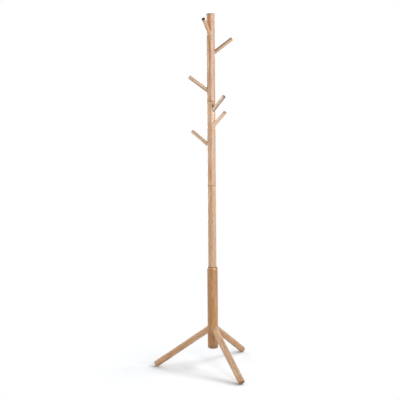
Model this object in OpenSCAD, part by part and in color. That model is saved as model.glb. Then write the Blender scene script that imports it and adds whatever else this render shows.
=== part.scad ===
// Standing coat rack in turned wood. A thick post stands on three sloping legs and
// carries a pole of three screwed sections. Straight pegs slope up from sockets set
// round the upper two sections.
// Millimetres, +Z up. The floor is z = 0 and the left leg points along -X.
// The origin is on the floor, at the middle of the rectangle that the feet cover.

/* [Legs] */
// Diameter of a leg
leg_d = 33; // [26:0.5:40]
// Length of a leg, from its seat in the post to the middle of its foot end
leg_len = 337; // [250:1:420]
// Slope of a leg below the horizontal, in degrees
leg_tilt = 34.6; // [26:0.1:42]
// Radius of the eased edge round the foot end
foot_round = 5; // [3:0.5:7]
// Depth of the flat that the foot stands on, cut into the eased edge
foot_flat = 1.1; // [0.5:0.1:1.5]
// Bevel on the seated end of a leg
butt_bevel = 0.8; // [0.4:0.1:2]

/* [Post] */
// Diameter of the post
post_d = 53; // [50:0.5:70]
// Length of the post
post_len = 415; // [320:1:520]
// Height above the post's underside at which the leg axes meet
hip_rise = 112; // [80:1:180]
// Height of the rounded shoulder at the top of the post
shoulder_h = 10; // [4:0.5:14]
// Flat lip of the shoulder left round the foot of the pole
shoulder_lip = 0.8; // [0.4:0.1:2]
// Radius of the eased edge round the post's underside
post_round = 5; // [2:0.5:8]
// Wood left between neighbouring leg sockets
socket_wall = 4; // [3:0.5:6]

/* [Pole] */
// Diameter of the pole
pole_d = 41; // [34:0.5:46]
// Length of the section that stands on the post
lower_len = 408; // [300:1:520]
// Length of the middle section
middle_len = 411; // [340:1:520]
// Length of the top section
upper_len = 416; // [350:1:540]
// Bevel on both ends at a seam
seam_bevel = 1.5; // [0.5:0.1:2.5]
// Bevel round the top of the pole
crown_bevel = 2; // [1:0.5:5]

/* [Pegs] */
// Diameter of a peg
peg_d = 18; // [12:0.5:22]
// Length of a peg, with the end that is in its socket
peg_len = 128; // [80:1:160]
// Slope of a peg above the horizontal, in degrees
peg_tilt = 36.5; // [25:0.5:50]
// Depth of a peg's socket along its axis
peg_seat = 22; // [16:1:26]
// Radius of the eased edge round a peg's tip
peg_round = 1.5; // [0.5:0.1:4]
// First peg of the top section, down from the section's upper end
upper_peg_drop = 112; // [60:1:140]
// Second peg of the top section, down from the first
upper_peg_step = 84; // [50:1:90]
// Last peg of the top section, up from the section's lower end
upper_peg_foot = 39; // [38:1:90]
// First peg of the middle section, down from the section's upper end
middle_peg_drop = 56; // [49:1:90]
// Second peg of the middle section, down from the first
middle_peg_step = 75; // [50:1:90]
// Last peg of the middle section, up from the section's lower end
middle_peg_foot = 93; // [60:1:120]
// Way that each peg of the top section points, from the top down, in degrees from +X
upper_peg_turns = [-106, 17, 92, -171];
// Way that each peg of the middle section points, from the top down
middle_peg_turns = [-52, -49, 156, 92];

/* [Hardware] */
// Diameter of the threaded studs and leg bolts
stud_d = 8; // [6:1:10]
// Length of a stud between two sections
stud_len = 56; // [48:1:64]
// Length of a leg bolt
bolt_len = 42; // [34:1:60]
// Bevel on the ends of studs and bolts
stud_bevel = 1; // [0.5:0.1:1.5]
// Outer diameter of a threaded insert
insert_d = 12; // [12:0.5:14]
// Diameter of an insert's flange
flange_d = 15; // [15:0.5:18]
// Thickness of an insert's flange
flange_h = 1.5; // [1:0.1:2.5]
// Length of an insert in the end of a section
section_insert_len = 18; // [12:1:20]
// Length of an insert at the bottom of a leg socket
leg_insert_len = 11; // [8:0.5:12]

/* [Fits] */
// Clearance round a leg in its socket
leg_gap = 0.15; // [0.05:0.05:0.4]
// Glue line round a peg in its socket
glue_gap = 0.1; // [0.05:0.05:0.3]
// Clearance round studs, bolts and inserts
hardware_gap = 0.1; // [0.05:0.05:0.2]
// Room past the end of a stud or bolt in its hole
end_gap = 3; // [1:0.5:5]

/* [Hidden] */
$fn = 96;

leg_r = leg_d / 2;
post_r = post_d / 2;
pole_r = pole_d / 2;
peg_r = peg_d / 2;
insert_r = insert_d / 2;

// Ways that the legs point, in degrees from +X: left, front, back
leg_turns = [180, -60, 60];
half_turn = 180 / len(leg_turns);

// Distance from the pole axis, along a leg's axis, at which flat-ended holes of radius r
// drilled for the three legs still leave a wall of the given thickness between them
function clear_of_next(r, wall) =
    (wall / 2 + r * sqrt(pow(cos(half_turn), 2) + pow(sin(half_turn) * sin(leg_tilt), 2)))
    / (sin(half_turn) * cos(leg_tilt));

// Wood between the inner ends of neighbouring inserts
insert_wall = 1.5;
leg_seat = max(
    clear_of_next(leg_r + leg_gap, socket_wall),
    leg_insert_len + clear_of_next(insert_r + hardware_gap, insert_wall)
);
leg_end = leg_seat + leg_len;

// The floor plane cuts this much off the sharp lower corner of a foot
foot_trim = foot_round * (sin(leg_tilt) + cos(leg_tilt) - 1) + foot_flat;
// Kept to a whole tenth, and with it every height above
hip_z = round(10 * (leg_end * sin(leg_tilt) + leg_r * cos(leg_tilt) - foot_trim)) / 10;

// Furthest that a foot reaches in a direction at this angle to its leg, from the pole axis
function foot_reach(angle) =
    let (share = cos(leg_tilt) * cos(angle))
    (leg_end - foot_round) * share
    + (leg_r - foot_round) * sqrt(1 - share * share)
    + foot_round;
axis_x = (foot_reach(0) - foot_reach(half_turn)) / 2;

post_z = hip_z - hip_rise;
lower_z = post_z + post_len;
middle_z = lower_z + lower_len;
upper_z = middle_z + middle_len;
top_z = upper_z + upper_len;
seams = [lower_z, middle_z, upper_z];

// Heights at which the axes of one section's pegs cross the pole axis, from the top down
function peg_heights(low, high, drop, step, foot) =
    let (second = high - drop - step, last = low + foot)
    [high - drop, second, (second + last) / 2, last];

upper_peg_z = peg_heights(upper_z, top_z, upper_peg_drop, upper_peg_step, upper_peg_foot);
middle_peg_z =
    peg_heights(middle_z, upper_z, middle_peg_drop, middle_peg_step, middle_peg_foot);
peg_z = concat(upper_peg_z, middle_peg_z);
peg_turns = concat(upper_peg_turns, middle_peg_turns);
peg_start = pole_r / cos(peg_tilt) - peg_seat;

// Overshoot of a cutting tool past the face that it breaks through
past = 1;

pale_wood = [0.86, 0.71, 0.55];
warm_wood = [0.80, 0.60, 0.41];
zinc = [0.72, 0.73, 0.75];

// Puts children, drawn round +Z, on the pole's axis at height z
module on_axis(z = 0) {
    translate([axis_x, 0, z]) children();
}

// Turns children, drawn along +Z from the pole axis, to point and slope another way
module pointing(z, turn, slope) {
    on_axis(z) rotate([0, 90 - slope, turn]) children();
}

module on_leg(i) {
    pointing(hip_z, leg_turns[i], -leg_tilt) children();
}

// Round bar with a bevelled lower end and a rounded upper end
module eased_bar(r, length, low_bevel, high_round) {
    rotate_extrude() {
        polygon([
            [0, 0],
            [r - low_bevel, 0],
            [r, low_bevel],
            [r, length - high_round],
            [0, length - high_round]
        ]);
        square([r - high_round, length]);
        intersection() {
            translate([r - high_round, length - high_round]) circle(high_round);
            square([r, length]);
        }
    }
}

// Round bar bevelled at both ends
module bevelled_bar(r, length, low_bevel, high_bevel) {
    rotate_extrude() polygon([
        [0, 0],
        [r - low_bevel, 0],
        [r, low_bevel],
        [r, length - high_bevel],
        [r - high_bevel, length],
        [0, length]
    ]);
}

// Hole for an insert and its flange, sunk from z = 0 towards -Z
module insert_hole(length) {
    mirror([0, 0, 1]) {
        translate([0, 0, -past]) cylinder(h = length + past, r = insert_r + hardware_gap);
        translate([0, 0, -past])
            cylinder(h = flange_h + past, r = flange_d / 2 + hardware_gap);
    }
}

// Threaded insert, its flange flush with z = 0 and its body towards -Z
module insert(length) {
    mirror([0, 0, 1]) difference() {
        union() {
            cylinder(h = length, r = insert_r);
            cylinder(h = flange_h, r = flange_d / 2);
        }
        translate([0, 0, -past]) cylinder(h = length + 2 * past, r = stud_d / 2 + hardware_gap);
    }
}

// What is drilled into the upper end of a section, which is at z = 0
module seam_socket() {
    insert_hole(section_insert_len);
    translate([0, 0, -stud_len / 2 - end_gap])
        cylinder(h = stud_len / 2 + end_gap, r = stud_d / 2 + hardware_gap);
}

// What is drilled into the lower end of a section, which is at z = 0
module seam_pilot() {
    translate([0, 0, -past])
        cylinder(h = stud_len / 2 + end_gap + past, r = stud_d / 2 + hardware_gap);
}

module peg_sockets(heights, turns) {
    for (i = [0 : len(heights) - 1])
        pointing(heights[i], turns[i], peg_tilt)
            translate([0, 0, peg_start]) cylinder(h = peg_len, r = peg_r + glue_gap);
}

// Turned body of the post, from its eased underside to its rounded shoulder
module post_body() {
    lip_r = pole_r + shoulder_lip;
    rotate_extrude() {
        translate([0, post_round]) square([post_r, post_len - post_round - shoulder_h]);
        square([post_r - post_round, post_len]);
        intersection() {
            translate([post_r - post_round, post_round]) circle(post_round);
            square([post_r, post_len]);
        }
        polygon(concat(
            [[0, post_len - shoulder_h]],
            [for (a = [0 : 7.5 : 90]) [
                lip_r + (post_r - lip_r) * cos(a),
                post_len - shoulder_h + shoulder_h * sin(a)
            ]],
            [[0, post_len]]
        ));
    }
}

module base_post() {
    color(warm_wood) difference() {
        on_axis(post_z) post_body();
        on_axis(lower_z) seam_socket();
        for (i = [0 : len(leg_turns) - 1]) on_leg(i) translate([0, 0, leg_seat]) {
            cylinder(h = leg_len, r = leg_r + leg_gap);
            insert_hole(leg_insert_len);
        }
    }
}

module leg(i) {
    color(pale_wood) difference() {
        on_leg(i) translate([0, 0, leg_seat]) difference() {
            eased_bar(leg_r, leg_len, butt_bevel, foot_round);
            translate([0, 0, -past])
                cylinder(h = bolt_len - leg_insert_len + end_gap + past,
                    r = stud_d / 2 + hardware_gap);
        }
        // the floor, under the foot
        on_axis() rotate(leg_turns[i]) translate([0, -leg_d, -2 * leg_d])
            cube([leg_end + leg_d, 2 * leg_d, 2 * leg_d]);
    }
}

module pole_section(z, length, top_bevel) {
    on_axis(z) bevelled_bar(pole_r, length, seam_bevel, top_bevel);
}

module pole_lower() {
    color(pale_wood) difference() {
        pole_section(lower_z, lower_len, seam_bevel);
        on_axis(lower_z) seam_pilot();
        on_axis(middle_z) seam_socket();
    }
}

module pole_middle() {
    color(pale_wood) difference() {
        pole_section(middle_z, middle_len, seam_bevel);
        on_axis(middle_z) seam_pilot();
        on_axis(upper_z) seam_socket();
        peg_sockets(middle_peg_z, middle_peg_turns);
    }
}

module pole_upper() {
    color(pale_wood) difference() {
        pole_section(upper_z, upper_len, crown_bevel);
        on_axis(upper_z) seam_pilot();
        peg_sockets(upper_peg_z, upper_peg_turns);
    }
}

module peg(i) {
    color(pale_wood) pointing(peg_z[i], peg_turns[i], peg_tilt)
        translate([0, 0, peg_start]) eased_bar(peg_r, peg_len, peg_round, peg_round);
}

module section_studs() {
    color(zinc) for (z = seams)
        on_axis(z - stud_len / 2) bevelled_bar(stud_d / 2, stud_len, stud_bevel, stud_bevel);
}

module section_inserts() {
    color(zinc) for (z = seams) on_axis(z) insert(section_insert_len);
}

module leg_bolts() {
    color(zinc) for (i = [0 : len(leg_turns) - 1])
        on_leg(i) translate([0, 0, leg_seat - leg_insert_len])
            bevelled_bar(stud_d / 2, bolt_len, stud_bevel, stud_bevel);
}

module leg_inserts() {
    color(zinc) for (i = [0 : len(leg_turns) - 1])
        on_leg(i) translate([0, 0, leg_seat]) insert(leg_insert_len);
}

base_post();
leg(0);  // leg_left
leg(1);  // leg_front
leg(2);  // leg_back
pole_lower();
pole_middle();
pole_upper();
for (i = [0 : len(peg_z) - 1])
    peg(i);
section_studs();
section_inserts();
leg_bolts();
leg_inserts();
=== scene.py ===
import math

import bpy
import numpy as np
from mathutils import Matrix, Vector


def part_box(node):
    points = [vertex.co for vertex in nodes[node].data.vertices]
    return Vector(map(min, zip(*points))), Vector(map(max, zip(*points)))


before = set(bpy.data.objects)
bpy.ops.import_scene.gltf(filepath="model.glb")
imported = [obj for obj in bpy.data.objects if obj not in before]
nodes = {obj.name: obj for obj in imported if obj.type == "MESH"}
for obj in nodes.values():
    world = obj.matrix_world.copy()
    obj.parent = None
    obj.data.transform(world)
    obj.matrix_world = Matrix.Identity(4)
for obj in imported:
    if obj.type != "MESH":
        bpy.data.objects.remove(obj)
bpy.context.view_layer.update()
print("frame loaded:", len(nodes), "nodes")


class Flow:
    # one socket of a node tree; sums of flows become Math nodes, anything else comes from add
    def __init__(self, tree, socket=None):
        self.tree = tree
        self.socket = socket

    def add(self, kind, settings=None, inputs=None, output=0):
        node = self.tree.nodes.new(kind)
        for name, value in (settings or {}).items():
            setattr(node, name, value)
        for name, value in (inputs or {}).items():
            if isinstance(value, Flow):
                self.tree.links.new(value.socket, node.inputs[name])
            else:
                node.inputs[name].default_value = value
        return Flow(self.tree, node.outputs[output] if node.outputs else None)

    def other(self, output):
        # another output of the node that this socket belongs to
        return Flow(self.tree, self.socket.node.outputs[output])

    def maths(self, operation, *values):
        return self.add("ShaderNodeMath", {"operation": operation}, dict(enumerate(values)))

    def __add__(self, other):
        return self.maths("ADD", self, other)

    def __radd__(self, other):
        return self.maths("ADD", other, self)

    def __sub__(self, other):
        return self.maths("SUBTRACT", self, other)

    def __rsub__(self, other):
        return self.maths("SUBTRACT", other, self)

    def __mul__(self, other):
        return self.maths("MULTIPLY", self, other)

    def __rmul__(self, other):
        return self.maths("MULTIPLY", other, self)

    def __truediv__(self, other):
        return self.maths("DIVIDE", self, other)

    def __pow__(self, other):
        return self.maths("POWER", self, other)

    def __abs__(self):
        return self.maths("ABSOLUTE", self)


def newTree(owner):
    # an empty node tree on a new material or world
    owner.use_nodes = True
    owner.node_tree.nodes.clear()
    return Flow(owner.node_tree)


def rise(value, low, high):
    # 0 below low, 1 above high, with soft ends
    return value.add(
        "ShaderNodeMapRange",
        {"interpolation_type": "SMOOTHSTEP"},
        {"Value": value, "From Min": low, "From Max": high, "To Min": 0.0, "To Max": 1.0},
    )


def colour(red, green, blue):
    # a screen colour, 0 to 255, as the linear colour that a shader takes
    def linear(channel):
        share = channel / 255
        return share / 12.92 if share <= 0.04045 else ((share + 0.055) / 1.055) ** 2.4

    return (linear(red), linear(green), linear(blue), 1.0)


def blendColour(factor, first, second):
    # from the first colour to the second; each is a flow or a screen colour
    first, second = (v if isinstance(v, Flow) else colour(*v) for v in (first, second))
    return factor.add(
        "ShaderNodeMix",
        {"data_type": "RGBA", "blend_type": "MIX", "clamp_factor": True},
        {0: factor, 6: first, 7: second},
        2,
    )


def layOn(material, *pieces):
    # the material goes on every slot of these pieces
    for piece in pieces:
        slots = nodes[piece].data.materials
        for index in range(len(slots)):
            slots[index] = material


def show(thing):
    bpy.context.scene.collection.objects.link(thing)


# camera

camera = {
    "place": (0.2434, -3.9029, 1.3523),
    "turn": -3.399,  # degrees to the right of the +Y axis
    "down": 7.297,  # degrees below the level
    "lean": -0.564,  # degrees about the line of sight
    "lens": 71.91,  # millimetres, as the sensor
    "sensor": 36,
    "farthest": 100,
}


def makeCamera(c):
    data = bpy.data.cameras.new("studioCamera")
    data.lens = c["lens"]
    data.sensor_width = c["sensor"]
    data.clip_end = c["farthest"]
    seen = bpy.data.objects.new("studioCamera", data)
    turned = (
        Matrix.Rotation(math.radians(-c["turn"]), 4, "Z")
        @ Matrix.Rotation(math.radians(90 - c["down"]), 4, "X")
        @ Matrix.Rotation(math.radians(c["lean"]), 4, "Z")
    )
    seen.matrix_world = Matrix.Translation(c["place"]) @ turned
    show(seen)
    bpy.context.scene.camera = seen


makeCamera(camera)
print("camera placed")


# wood

perMetre = 1000  # millimetres

grain = {
    # noises: width and length of a blob in millimetres, detail, shift, roughness
    "warp": (30, 170, 2.0, 3.1, 0.5),
    "ringPatch": (14, 60, 1.0, 9.0, 0.5),
    "tint": (26, 120, 1.0, 29.0, 0.5),
    "streak": (2.4, 55, 3.0, 41.0, 0.6),
    "fibre": (0.45, 14, 2.0, 53.0, 0.6),
    "porePatch": (9, 70, 1.0, 61.0, 0.5),
    "rimPatch": (4, 4, 2.0, 71.0, 0.5),
    "wobble": (8, 45, 2.0, 83.0, 0.5),
    "drift": (12, 14, 1.0, 97.0, 0.5),
    "fleck": (4.2, 34, 2.0, 113.0, 0.6),
    "band": (2.0, 17.0, 0.5),  # without its size, which each look gives
    "sideShift": 0.7,  # these two keep the noises of a piece apart
    "longShift": 1.7,
    # where each begins to show, or to hide, and where it has done so in full
    "ringDarkens": (0.15, 0.95),
    "ringEnds": (0.95, 1.0),
    "warmShows": (0.33, 0.67),
    "greenShows": (0.45, 0.75),
    "darkFleckShows": (0.50, 0.70),
    "lightFleckHides": (0.32, 0.46),
    "streakShows": (0.50, 0.78),
    "fibreShows": (0.35, 0.75),
    "poreHides": (0.10, 0.22),
    "porePatchShows": (0.42, 0.62),
    "endShows": (0.55, 0.9),
    "poreCell": (1.5, 17),  # width and length of the cell round each pore, in millimetres
    "poreShift": (2.0, 5.0),
    "rimCore": 0.3,  # millimetres from the end that are darkened in full
    "rimOnEnd": 0.7,  # share of the rim darkening that the sawn end itself goes without
    "rimLeast": 0.55,  # darkening that is there all round
    "rimPatchy": 0.45,  # and what patches add to it
    "stripeCore": 0.4,  # share of the width that has the full colour
    "stripeReach": 1.4,  # share of the width where the colour ends
    "stripeWobble": 1.5,  # how far the long edges stray, a share of the width
    "stripeDrift": 30,  # millimetres that the ends stray
    "stripeFront": 4.0,  # millimetres in front of the axis where a stripe is full
}

relief = {
    # how much each part of the grain stands up or lies low
    "fibre": 0.35,
    "streak": 0.25,
    "pore": 0.9,
    "ring": 0.15,
    "step": 0.0003,  # metres that a height of 1 stands for
}

satin = {
    # what each part of the grain adds to the roughness
    "fibre": 0.10,
    "pore": 0.2,
    "end": 0.25,
    "soaked": 0.8,  # share of the lacquer that the sawn ends drink
    "woodIndex": 1.46,  # how strongly the wood, and then its lacquer, bends light
    "lacquerIndex": 1.5,
}

lowPole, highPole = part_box("pole_upper")
postAxis = ((lowPole.x + highPole.x) / 2, (lowPole.y + highPole.y) / 2)


def pieceAxis(node):
    # middle and long direction of a piece, from its own points, pointing up
    points = np.array([v.co for v in nodes[node].data.vertices], float)
    low, high = points.min(0), points.max(0)
    spread = points - points.mean(0)
    direction = np.linalg.svd(spread, full_matrices=False)[2][0]
    direction *= np.sign(direction[2])
    return Vector(((low + high) / 2).tolist()), Vector(direction.tolist())


def layStripe(base, patch, across, deep, place, wobble):
    # colours the side of a piece that faces the patch's turn
    turn, wide, soft = math.radians(patch["turn"]), patch["wide"], patch["soft"]
    towards = across * math.cos(turn) + deep * math.sin(turn)
    aside = deep * math.cos(turn) - across * math.sin(turn)
    aside = aside + wobble * (wide * grain["stripeWobble"])
    inside = 1 - rise(abs(aside), wide * grain["stripeCore"], wide * grain["stripeReach"])
    start = rise(place, patch["low"], patch["low"] + soft)
    stop = 1 - rise(place, patch["high"] - soft, patch["high"])
    front = rise(towards, 0.0, grain["stripeFront"])
    return blendColour(inside * start * stop * front * patch["depth"], base, patch["colour"])


def wood(name, node, look, upright=False):
    # a solid block of grown wood with rings, fibres, pores and end grain, laid along the piece
    middle, along = pieceAxis(node)
    if upright:
        along = Vector((0, 0, 1))
        middle.x, middle.y = postAxis
    points = nodes[node].data.vertices
    reach = max(abs((v.co - middle).dot(along)) for v in points) * perMetre
    turned = (0, 0, 0) if upright else along.to_track_quat("Z", "X").to_euler()

    material = bpy.data.materials.new(name)
    flow = newTree(material)
    seat = flow.add("ShaderNodeTexCoord", output="Object")
    inWood = flow.add(
        "ShaderNodeMapping",
        {"vector_type": "TEXTURE"},
        {"Vector": seat, "Location": middle, "Rotation": turned, "Scale": (1 / perMetre,) * 3},
    )  # millimetres: x and y across the grain, z along it
    across = inWood.add("ShaderNodeSeparateXYZ", {}, {"Vector": inWood}, "X")
    deep = across.other("Y")
    length = across.other("Z")

    def noise(wide, long, detail, shift, roughness):
        # noise whose blobs are about so many millimetres wide and long
        placed = inWood.add(
            "ShaderNodeMapping",
            {"vector_type": "POINT"},
            {
                "Vector": inWood,
                "Location": (
                    look["cut"] + shift,
                    shift * grain["sideShift"],
                    look["cut"] * grain["longShift"],
                ),
                "Scale": (1 / wide, 1 / wide, 1 / long),
            },
        )
        return placed.add(
            "ShaderNodeTexNoise",
            {},
            {"Vector": placed, "Scale": 1.0, "Detail": detail, "Roughness": roughness},
            "Fac",
        )

    # growth rings about a pith beside the piece, a little askew so that flames show
    warp = noise(*grain["warp"]) * look["waver"]
    pith = look["pith"]
    fromPithX = across + (length * look["skew"][0] - pith[0])
    fromPithY = deep + (length * look["skew"][1] - pith[1])
    radius = (fromPithX * fromPithX + fromPithY * fromPithY) ** 0.5
    ringPlace = (radius + warp) / look["ringWidth"]
    ringShare = ringPlace.maths("FRACT", ringPlace)
    lateWood = rise(ringShare, *grain["ringDarkens"]) - rise(ringShare, *grain["ringEnds"])
    lateWood = lateWood * noise(*grain["ringPatch"])

    # broad bands of warmer and greener wood, streaks, fibres, flecks
    band = noise(look["bandWidth"], look["bandLength"], *grain["band"])
    tint = noise(*grain["tint"])
    streak = noise(*grain["streak"])
    fibre = noise(*grain["fibre"])
    fleck = noise(*grain["fleck"])

    # open pores: thin dark dashes on the side, dots on the ends
    poreWide, poreLong = grain["poreCell"]
    poreCells = inWood.add(
        "ShaderNodeMapping",
        {"vector_type": "POINT"},
        {
            "Vector": inWood,
            "Scale": (1 / poreWide, 1 / poreWide, 1 / poreLong),
            "Location": (look["cut"], *grain["poreShift"]),
        },
    )
    pore = poreCells.add(
        "ShaderNodeTexVoronoi",
        {"feature": "F1"},
        {"Vector": poreCells, "Scale": 1.0, "Randomness": 1.0},
        "Distance",
    )
    pore = 1 - rise(pore, *grain["poreHides"])
    pore = pore * rise(noise(*grain["porePatch"]), *grain["porePatchShows"])

    # the two sawn ends, and the rims darkened beside them: wear at the feet and peg tips,
    # painted shade at the seams, the crown and where pieces meet
    facing = flow.add("ShaderNodeNewGeometry", output="Normal")
    endOn = facing.add(
        "ShaderNodeVectorMath", {"operation": "DOT_PRODUCT"}, {0: facing, 1: along}, "Value"
    )
    endGrain = rise(abs(endOn), *grain["endShows"])
    topRim = 1 - rise(reach - length, grain["rimCore"], look["topWearAndShade"])
    footRim = 1 - rise(reach + length, grain["rimCore"], look["footWearAndShade"])
    rim = (topRim + footRim) * (1 - endGrain * grain["rimOnEnd"])
    rim = rim * (grain["rimLeast"] + grain["rimPatchy"] * noise(*grain["rimPatch"]))

    # colours, from the broad to the fine
    base = blendColour(rise(band, *grain["warmShows"]), look["pale"], look["warm"])
    greenPart = rise(tint, *grain["greenShows"]) * look["greenShare"]
    base = blendColour(greenPart, base, look["green"])
    wobble = noise(*grain["wobble"]) - 0.5
    drift = (noise(*grain["drift"]) - 0.5) * grain["stripeDrift"]
    for patch in look["stripes"]:
        base = layStripe(base, patch, across, deep, length + drift, wobble)
    darkFleck = rise(fleck, *grain["darkFleckShows"])
    lightFleck = 1 - rise(fleck, *grain["lightFleckHides"])
    base = blendColour(darkFleck * look["fleckDepth"], base, look["fleck"])
    base = blendColour(lightFleck * look["fleckDepth"], base, look["light"])
    base = blendColour(lateWood * look["ringDepth"], base, look["ring"])
    streakPart = rise(streak, *grain["streakShows"]) * look["streakDepth"]
    fibrePart = rise(fibre, *grain["fibreShows"]) * look["fibreDepth"]
    base = blendColour(streakPart, base, look["ring"])
    base = blendColour(fibrePart, base, look["ring"])
    base = blendColour(pore * look["poreDepth"], base, look["poreColour"])
    base = blendColour(rim * look["rimDepth"], base, look["endColour"])
    base = blendColour(endGrain * look["endDepth"], base, look["endColour"])

    height = fibre * relief["fibre"] + streak * relief["streak"]
    height = height - pore * relief["pore"] - lateWood * relief["ring"]
    grainBump = height.add(
        "ShaderNodeBump",
        {},
        {"Height": height, "Strength": look["bump"], "Distance": relief["step"]},
    )
    gloss = look["roughness"] + fibre * satin["fibre"] + pore * satin["pore"]
    gloss = gloss + endGrain * satin["end"]
    surface = base.add(
        "ShaderNodeBsdfPrincipled",
        {},
        {
            "Base Color": base,
            "Roughness": gloss,
            "Normal": grainBump,
            "IOR": satin["woodIndex"],
            "Coat Weight": (1 - endGrain * satin["soaked"]) * look["lacquer"],
            "Coat Roughness": look["lacquerRoughness"],
            "Coat IOR": satin["lacquerIndex"],
        },
    )
    surface.add("ShaderNodeOutputMaterial", {}, {"Surface": surface})
    layOn(material, node)


def stripe(turn, wide, low, high, soft, tone, depth):
    # a patch of other wood on the side that faces the turn, in degrees; the rest is in
    # millimetres, with low and high measured from the middle of the piece
    return {
        "turn": turn,
        "wide": wide,
        "low": low,
        "high": high,
        "soft": soft,
        "colour": tone,
        "depth": depth,
    }


poleLook = {
    "cut": 23.7,  # which place in the noises the piece is cut from
    "pith": (34, 21),  # millimetres from the middle of the piece
    "skew": (0.011, -0.006),  # how far the pith leans, a share of the length
    "waver": 5.0,  # millimetres that a ring strays
    "ringWidth": 4.2,  # millimetres
    "bandWidth": 11,  # millimetres, as the next
    "bandLength": 130,
    "pale": (202, 167, 133),
    "warm": (188, 147, 109),
    "green": (192, 154, 108),
    "greenShare": 0.35,
    "fleck": (166, 116, 74),
    "light": (222, 186, 150),
    "fleckDepth": 0.45,
    "ring": (156, 108, 72),
    "ringDepth": 0.40,
    "streakDepth": 0.35,
    "fibreDepth": 0.24,
    "poreColour": (112, 72, 44),
    "poreDepth": 0.55,
    "endColour": (92, 66, 46),
    "endDepth": 0.6,
    "topWearAndShade": 1.8,  # millimetres from the end, as the next
    "footWearAndShade": 1.8,
    "rimDepth": 0.9,
    "bump": 0.5,
    "roughness": 0.34,
    "lacquer": 0.50,
    "lacquerRoughness": 0.20,
}

postLook = dict(
    poleLook,
    cut=11.3,
    topWearAndShade=0.8,
    pith=(-30, 38),
    pale=(184, 138, 88),
    warm=(174, 122, 70),
    green=(180, 132, 76),
    ring=(134, 88, 50),
    fleck=(152, 94, 46),
    light=(202, 160, 108),
    fleckDepth=0.55,
    stripes=[
        stripe(-134, 8, -220, 220, 30, (186, 128, 76), 0.6),
        stripe(-106, 5, -120, 20, 50, (166, 116, 72), 0.5),
        stripe(-80, 9, -120, 40, 50, (180, 132, 70), 0.65),
        stripe(-80, 5, -118, -60, 24, (200, 156, 74), 0.7),
        stripe(-74, 7, 20, 190, 50, (190, 142, 98), 0.5),
        stripe(-93, 2.0, 135, 200, 14, (104, 62, 34), 0.7),
        stripe(-32, 8, 40, 220, 50, (144, 102, 68), 0.6),
        stripe(-55, 5, -110, -20, 40, (156, 116, 76), 0.5),
        stripe(-98, 9, -220, -118, 24, (146, 102, 56), 0.6),
        stripe(60, 10, -60, 160, 60, (196, 148, 100), 0.6),
        stripe(130, 8, -200, 0, 60, (152, 104, 62), 0.6),
        # painted shade: a greyer band down the side at the camera's right
        stripe(-20, 7, -230, 220, 30, (150, 126, 102), 0.5),
        # painted light on the shoulder: two painted glints on its rounded edge, then painted
        # shade on its right flank
        stripe(-126, 6, 200, 230, 3, (226, 198, 170), 0.85),  # painted glint
        stripe(-71, 7, 199, 230, 4, (228, 182, 142), 0.8),
        stripe(-40, 8, 199, 230, 4, (124, 97, 78), 0.85),
        stripe(-90, 40, -240, -186, 6, (112, 86, 62), 0.5),  # darker foot, all round
        stripe(90, 40, -240, -186, 6, (112, 86, 62), 0.5),
    ],
)
wood("woodPost", "base_post", postLook, upright=True)

lowerLook = dict(
    poleLook,
    footWearAndShade=0.9,
    stripes=[
        stripe(-130, 7, 100, 220, 40, (220, 178, 138), 0.65),
        stripe(-140, 5, 20, 120, 40, (184, 132, 72), 0.55),
        stripe(-82, 9, 80, 220, 50, (182, 138, 96), 0.5),
        stripe(-66, 7, -230, 110, 60, (202, 166, 136), 0.5),
        # painted shade: a greyer, darker band down the side at the camera's right
        stripe(-34, 9, -220, 90, 50, (172, 155, 141), 0.6),
        stripe(50, 8, -140, 100, 60, (178, 130, 88), 0.6),
        stripe(130, 9, -60, 200, 60, (212, 172, 134), 0.6),
    ],
)
wood("woodPoleLower", "pole_lower", lowerLook, upright=True)

middleLook = dict(
    poleLook,
    cut=71.1,
    # painted shade: both seam rims darkened, as in the grooves where the sections meet
    topWearAndShade=3.2,
    footWearAndShade=3.2,
    pith=(3, 30),
    pale=(206, 168, 134),
    warm=(194, 150, 112),
    stripes=[
        stripe(-108, 15, 85, 230, 40, (224, 186, 150), 0.8),
        # painted highlight: a pinkish-white sheen down the front-right side, between the roots
        # of pegs 5 and 6
        stripe(-66, 8, 80, 180, 30, (248, 222, 198), 0.9),
        stripe(-122, 9, -220, -80, 60, (184, 128, 74), 0.75),
        stripe(-96, 5, -220, -90, 60, (186, 134, 88), 0.5),
        stripe(-61, 5.5, 170, 197, 6, (66, 26, 4), 1.0),  # painted shadow cast by peg 5 onto the pole, just above its root
        stripe(-72, 6, -230, 80, 60, (212, 172, 140), 0.55),
        # painted shade: a greyer, darker band down the side at the camera's right
        stripe(-40, 9, -220, 70, 40, (167, 151, 140), 0.6),
        stripe(-62, 4, 68, 86, 8, (216, 150, 96), 0.5),
        stripe(70, 9, -60, 180, 60, (176, 128, 86), 0.6),
        stripe(150, 8, -200, 60, 60, (216, 178, 140), 0.6),
    ],
)
wood("woodPoleMiddle", "pole_middle", middleLook, upright=True)

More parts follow.
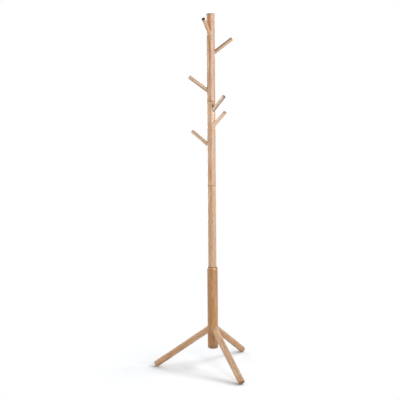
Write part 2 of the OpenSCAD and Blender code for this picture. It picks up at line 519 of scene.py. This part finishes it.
upperLook = dict(
    poleLook,
    cut=94.8,
    # painted shade: the crown's rim darkened deep and in full, where little light falls from
    # above; the foot's rim darkened at the seam
    topWearAndShade=8.5,
    footWearAndShade=2.6,
    rimDepth=1.0,
    pith=(-28, 39),
    pale=(208, 169, 133),
    warm=(188, 141, 99),
    green=(194, 152, 102),
    stripes=[
        stripe(-135, 7, -80, 100, 40, (236, 204, 176), 0.75),
        stripe(-135, 6, -208, -150, 30, (228, 184, 142), 0.6),
        stripe(-108, 7, 0, 230, 60, (168, 112, 54), 0.75),
        stripe(-92, 8, 130, 220, 50, (176, 112, 66), 0.55),
        stripe(-90, 4, -20, 55, 26, (186, 106, 80), 0.65),
        stripe(-95, 7, -230, -172, 22, (168, 112, 68), 0.65),
        stripe(-122, 5, -230, -130, 24, (216, 180, 150), 0.6),
        stripe(-68, 6, -230, 230, 40, (218, 180, 150), 0.7),
        stripe(-60, 9, 118, 206, 24, (216, 140, 116), 0.6),  # red streak
        # painted shade: a greyer, darker band down the side at the camera's right
        stripe(-37, 9, -220, 220, 40, (162, 145, 132), 0.7),
        stripe(-38, 1.6, 60, 190, 30, (132, 84, 66), 0.55),
        stripe(60, 10, -120, 90, 60, (214, 176, 140), 0.6),
        stripe(120, 7, -220, 40, 60, (174, 124, 80), 0.6),
    ],
)
wood("woodPoleUpper", "pole_upper", upperLook, upright=True)

legLook = dict(poleLook, bandWidth=9, bandLength=50, fleckDepth=0.6)

leftLegLook = dict(
    legLook,
    cut=101.0,
    fleck=(170, 104, 50),
    light=(206, 176, 136),
    pale=(203, 170, 138),
    warm=(172, 129, 90),
    stripes=[
        stripe(50, 5, -200, 180, 30, (204, 162, 124), 0.55),
        stripe(82, 6, -120, 120, 50, (178, 128, 80), 0.6),
        stripe(108, 5, -110, -40, 30, (192, 160, 118), 0.6),
        stripe(132, 7, 30, 200, 50, (214, 186, 158), 0.85),
        stripe(138, 6, -220, -50, 40, (136, 98, 64), 0.7),
        stripe(-90, 9, -60, 120, 50, (206, 162, 120), 0.6),
        stripe(200, 6, -140, 60, 50, (162, 114, 72), 0.6),
    ],
)
wood("woodLegLeft", "leg_left", leftLegLook)

frontLegLook = dict(
    legLook,
    cut=118.3,
    fleck=(178, 112, 58),
    light=(214, 182, 140),
    pale=(217, 184, 151),
    warm=(191, 148, 110),
    stripes=[
        stripe(-46, 8, 10, 200, 60, (222, 180, 138), 0.6),
        stripe(-42, 11, -200, -125, 24, (178, 124, 78), 0.6),
        stripe(-44, 5, -70, -20, 20, (210, 154, 104), 0.6),
        stripe(18, 10, -220, 130, 70, (144, 113, 84), 0.75),
        stripe(-20, 5, 84, 200, 20, (226, 184, 132), 0.6),
        # painted contact shade at the top of the root, where the leg meets the post
        stripe(-10, 30, 138, 200, 14, (140, 112, 92), 0.5),
        stripe(150, 9, -40, 150, 60, (182, 132, 86), 0.6),
    ],
)
wood("woodLegFront", "leg_front", frontLegLook)

backLegLook = dict(
    legLook,
    cut=135.6,
    pale=(188, 147, 101),
    warm=(162, 115, 62),
    green=(176, 134, 76),
    fleck=(158, 98, 42),
    light=(198, 164, 122),
    fleckDepth=0.55,
    stripes=[
        stripe(-118, 10, -70, -20, 22, (180, 114, 46), 0.75),
        stripe(-142, 6, 50, 125, 30, (182, 120, 54), 0.6),
        stripe(-104, 7, 80, 190, 30, (158, 122, 88), 0.55),
        stripe(-148, 5, -145, -80, 30, (194, 150, 106), 0.55),
        stripe(-82, 9, -220, -120, 20, (132, 98, 68), 0.7),
        stripe(40, 9, -120, 120, 60, (198, 152, 106), 0.6),
    ],
)
wood("woodLegBack", "leg_back", backLegLook)

pegLook = dict(
    poleLook,
    pale=(206, 168, 132),
    warm=(188, 146, 106),
    ringWidth=3.2,
    bandWidth=7,
    bandLength=60,
    topWearAndShade=1.6,
    footWearAndShade=1.6,
    rimDepth=0.4,
    fleckDepth=0.25,
    stripes=[],
)
pegCuts = {"first": 216.9, "step": 13.9}
pegLooks = [
    dict(
        pegLook,
        pale=(212, 179, 144),
        warm=(200, 165, 128),
        # the end face nearly black: darker end grain, and painted shade on an end turned from
        # the lamps
        endColour=(58, 52, 50),
        endDepth=0.95,
        stripes=[
            stripe(-195, 4, -70, 70, 10, (180, 148, 112), 0.5),
            stripe(-100, 3, -70, 70, 10, (186, 142, 94), 0.5),
            stripe(-153, 12, 52, 80, 10, (150, 128, 108), 0.6),
        ],
    ),
    dict(
        pegLook,
        pale=(190, 164, 136),
        warm=(168, 140, 110),
        stripes=[
            stripe(34, 4, -70, 70, 10, (136, 88, 52), 0.7),
            stripe(90, 9, -80, -16, 14, (146, 108, 76), 0.6),
            stripe(110, 5, 30, 80, 14, (188, 150, 118), 0.5),
        ],
    ),
    dict(pegLook),
    dict(
        pegLook,
        pale=(212, 176, 144),
        warm=(198, 160, 124),
        stripes=[
            stripe(-60, 6, -50, 80, 20, (206, 184, 162), 0.7),
            stripe(-144, 4, -70, 70, 10, (158, 118, 76), 0.7),
            stripe(-94, 14, 36, 80, 14, (178, 158, 138), 0.7),
            stripe(0, 14, -52, -40, 6, (70, 40, 24), 0.8),  # painted shade in the crook, where the peg meets the pole
        ],
    ),
    dict(
        pegLook,
        pale=(202, 178, 157),
        warm=(190, 162, 140),
        stripes=[
            # painted light: the upper-left side lit pale, and painted shade on the far side
            stripe(92, 8, -70, 80, 10, (244, 220, 194), 0.9),
            stripe(176, 5, -70, 80, 10, (148, 114, 88), 0.85),
        ],
    ),
    dict(
        pegLook,
        pale=(250, 220, 194),
        warm=(244, 208, 178),
        green=(240, 206, 170),
        ringDepth=0.15,
        streakDepth=0.2,
        stripes=[
            stripe(176, 4, -70, 80, 10, (204, 164, 132), 0.7),
            stripe(128, 14, 30, 80, 20, (214, 190, 170), 0.6),
        ],
    ),
    dict(
        pegLook,
        pale=(228, 202, 168),
        warm=(216, 186, 150),
        green=(214, 196, 152),
        ringDepth=0.2,
        greenShare=0.8,
        stripes=[
            # painted shadow of the pole on the peg, at its root
            stripe(-118, 4, -52, -8, 10, (156, 100, 72), 0.8),
            stripe(-26, 5, 10, 80, 16, (170, 148, 116), 0.6),
            stripe(-40, 6, -60, -20, 14, (236, 184, 142), 0.7),
        ],
    ),
    dict(pegLook, pale=(196, 152, 110)),
]

for index, look in enumerate(pegLooks):
    number = index + 1
    cut = pegCuts["first"] + pegCuts["step"] * index
    wood("woodPeg%d" % number, "peg_%d" % number, dict(look, cut=cut))
wooden = [n for n in nodes if nodes[n].data.materials[0].name.startswith("wood")]
print("wood laid on", len(wooden), "pieces")


# metal inside the joints

metalLook = {
    "cloudDetail": 3.0,
    "scratchDetail": 2.0,
    "dullShows": (0.35, 0.7),  # part of the cloud where the dull colour takes over
    "cloudGloss": 0.2,  # roughness that the cloud adds
    "bump": 0.2,
    "step": 0.0002,  # metres that a scratch is deep
}


def metal(name, look, *members):
    material = bpy.data.materials.new(name)
    flow = newTree(material)
    seat = flow.add("ShaderNodeTexCoord", output="Object")

    def noise(scale, detail):
        inputs = {"Vector": seat, "Scale": scale, "Detail": detail}
        return seat.add("ShaderNodeTexNoise", {}, inputs, "Fac")

    cloud = noise(look["cloud"], look["cloudDetail"])
    scratch = noise(look["scratch"], look["scratchDetail"])
    base = blendColour(rise(cloud, *look["dullShows"]), look["bright"], look["dull"])
    bump = scratch.add(
        "ShaderNodeBump",
        {},
        {"Height": scratch, "Strength": look["bump"], "Distance": look["step"]},
    )
    surface = base.add(
        "ShaderNodeBsdfPrincipled",
        {},
        {
            "Base Color": base,
            "Metallic": 1.0,
            "Roughness": look["roughness"] + cloud * look["cloudGloss"],
            "Normal": bump,
        },
    )
    surface.add("ShaderNodeOutputMaterial", {}, {"Surface": surface})
    layOn(material, *members)


studLook = dict(
    metalLook,
    bright=(190, 190, 192),
    dull=(150, 150, 150),
    roughness=0.25,
    cloud=90,
    scratch=900,
)
metal("studSteel", studLook, "section_studs", "leg_bolts")

insertLook = dict(
    metalLook,
    bright=(205, 203, 196),
    dull=(168, 166, 158),
    roughness=0.35,
    cloud=70,
    scratch=700,
)
metal("insertZinc", insertLook, "section_inserts", "leg_inserts")
print("metal laid")


# floor, world and lamps

white = (1, 1, 1, 1)

studio = {
    "floorSize": 40.0,  # metres
    "shadowNear": 0.34,  # metres from the origin where the shaded floor turns to plain white
    "shadowFar": 0.55,
    "floorLift": 0.045,  # a faint glow that lightens the shadow
    "nearColour": (0.95, 0.975, 0.995, 1),
    "contactShadowColour": (0.17, 0.19, 0.21, 1),
    "contactReach": 0.18,  # metres
    "contactRays": 16,
    "openSide": (0.72, 0.44, 0.52),  # the light's main direction; feet shade the far side
    "bounceColour": (0.75, 0.75, 0.75, 1),
    "fill": 0.40,  # even light from all round
}


def whiteRays(flow):
    # 1 for the rays that are shown plain white: straight ones, mirrored ones, through glass
    rays = flow.add("ShaderNodeLightPath", output="Is Camera Ray")
    shown = rays + rays.other("Is Glossy Ray") + rays.other("Is Transmission Ray")
    return shown.maths("MINIMUM", shown, 1.0)


def makeFloor(s):
    half = s["floorSize"] / 2
    mesh = bpy.data.meshes.new("studioFloor")
    corners = [(-half, -half, 0), (half, -half, 0), (half, half, 0), (-half, half, 0)]
    mesh.from_pydata(corners, [], [(0, 1, 2, 3)])
    floor = bpy.data.objects.new("studioFloor", mesh)
    show(floor)
    material = bpy.data.materials.new("paperFloor")
    flow = newTree(material)

    def paper(tone):
        return flow.add("ShaderNodeBsdfDiffuse", {}, {"Color": tone})

    def glow(strength):
        return flow.add("ShaderNodeEmission", {}, {"Color": white, "Strength": strength})

    def mix(factor, first, second):
        return flow.add("ShaderNodeMixShader", {}, {0: factor, 1: first, 2: second})

    # near the feet: paper that the lamps light, with a painted contact shadow where a foot
    # closes it in
    openSide = flow.add("ShaderNodeCombineXYZ", {}, dict(zip("XYZ", s["openSide"])))
    contact = flow.add(
        "ShaderNodeAmbientOcclusion",
        {"samples": s["contactRays"]},
        {"Distance": s["contactReach"], "Normal": openSide},
        "AO",
    )
    lit = mix(rise(contact, 0.0, 1.0), paper(s["contactShadowColour"]), paper(s["nearColour"]))
    nearLook = flow.add("ShaderNodeAddShader", {}, {0: lit, 1: glow(s["floorLift"])})

    # further out: plain white; and light that bounces off the floor meets grey paper
    seat = flow.add("ShaderNodeTexCoord", output="Object")
    distance = seat.add("ShaderNodeVectorMath", {"operation": "LENGTH"}, {0: seat}, "Value")
    seen = mix(rise(distance, s["shadowNear"], s["shadowFar"]), nearLook, glow(1.0))
    both = mix(whiteRays(flow), paper(s["bounceColour"]), seen)
    both.add("ShaderNodeOutputMaterial", {}, {"Surface": both})
    mesh.materials.append(material)


def makeWorld(s):
    world = bpy.data.worlds.new("studioWorld")
    flow = newTree(world)

    def sky(strength):
        return flow.add("ShaderNodeBackground", {}, {"Color": white, "Strength": strength})

    rays = whiteRays(flow)
    both = flow.add("ShaderNodeMixShader", {}, {0: rays, 1: sky(s["fill"]), 2: sky(1.0)})
    both.add("ShaderNodeOutputWorld", {}, {"Surface": both})
    bpy.context.scene.world = world


def makePanel(name, place, aim, size, power):
    data = bpy.data.lights.new(name, "AREA")
    data.shape = "RECTANGLE"
    data.size, data.size_y = size
    data.energy = power
    panel = bpy.data.objects.new(name, data)
    facing = (Vector(aim) - Vector(place)).to_track_quat("-Z", "Y")
    panel.matrix_world = Matrix.Translation(place) @ facing.to_matrix().to_4x4()
    show(panel)


# each panel's place, aim, width and height, and watts
tall = (0.8, 2.1)
small = (1.3, 1.0)
middle = (0.07, 0, 1.35)
foot = (0.07, 0, 0.1)
panels = {
    "highRightPanel": ((2.80, -0.02, 2.6), foot, small, 16.5),
    "highBackRightPanel": ((2.70, 0.72, 2.6), foot, small, 33.5),
    "frontPanel": ((1.11, -2.49, 1.35), middle, tall, 26.5),
    "rightPanel": ((2.47, -1.24, 1.35), middle, tall, 27.5),
    "leftPanel": ((-2.42, -1.04, 1.35), middle, tall, 16.9),
    "sideLeftPanel": ((-2.33, 1.24, 1.35), middle, tall, 10.0),
    "backLeftPanel": ((-1.39, 2.28, 1.35), middle, tall, 26.0),
}

makeFloor(studio)
makeWorld(studio)
for name, panel in panels.items():
    makePanel(name, *panel)
print("floor, world and lamps made")

bpy.context.scene.view_settings.view_transform = "Standard"
